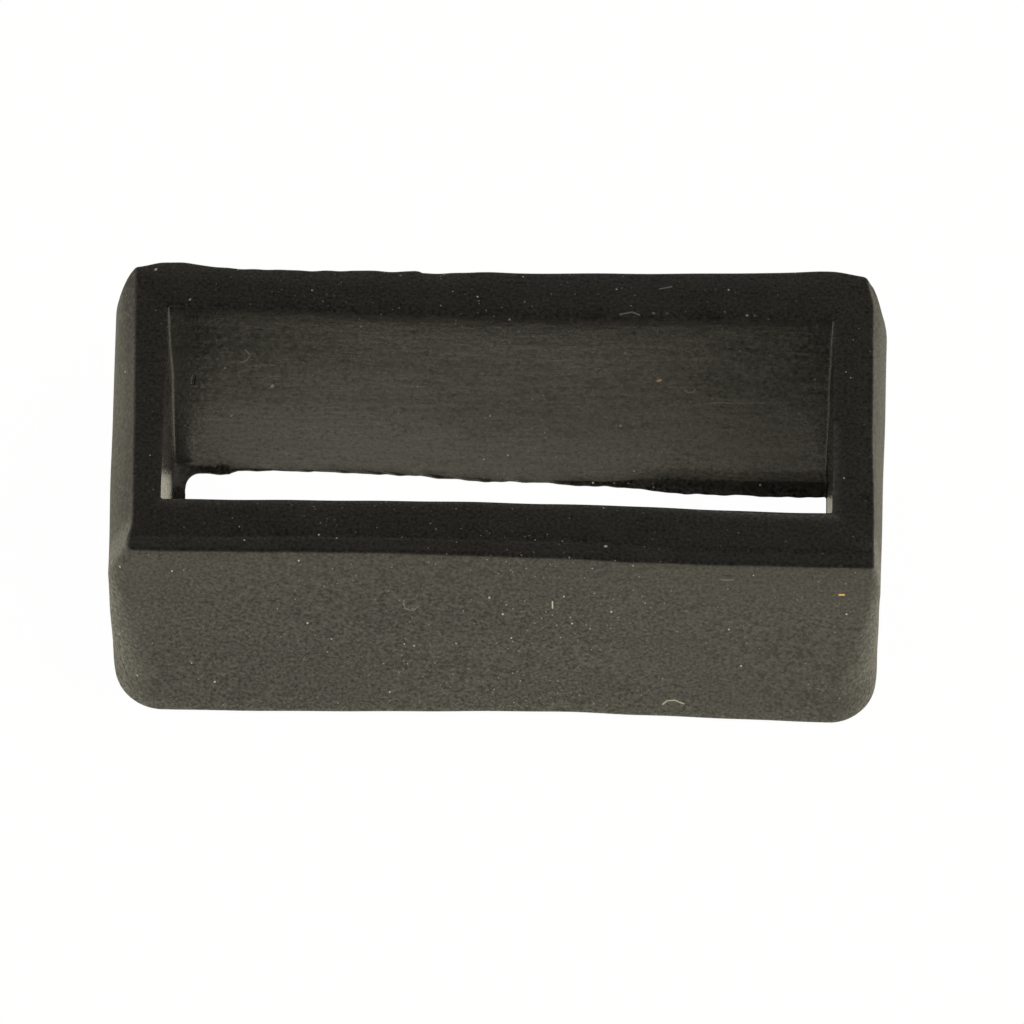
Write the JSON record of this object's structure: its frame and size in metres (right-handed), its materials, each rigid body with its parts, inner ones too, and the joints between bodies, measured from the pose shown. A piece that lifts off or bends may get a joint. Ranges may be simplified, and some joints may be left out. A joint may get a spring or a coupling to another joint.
{
  "type": "strap keeper loop",
  "caption": "Moulded rubber keeper loop: a short rectangular sleeve with rounded ends, whose through slot holds the free end of a strap.",
  "frame": {"origin": "middle of the bottom rim's outline, on the surface the loop stands on", "axes": "+Z along the slot, the way the strap goes; +X across the strap; -Y is the grained show face"},
  "size_m": [0.0254, 0.0114, 0.01],
  "materials": {
    "moulded_rubber": "matt black rubber, fine moulded grain on the outer walls, smooth in the slot and on the rims"
  },
  "bodies": {
    "root": {"keeper_loop": "moulded_rubber"}
  },
  "joints": []
}
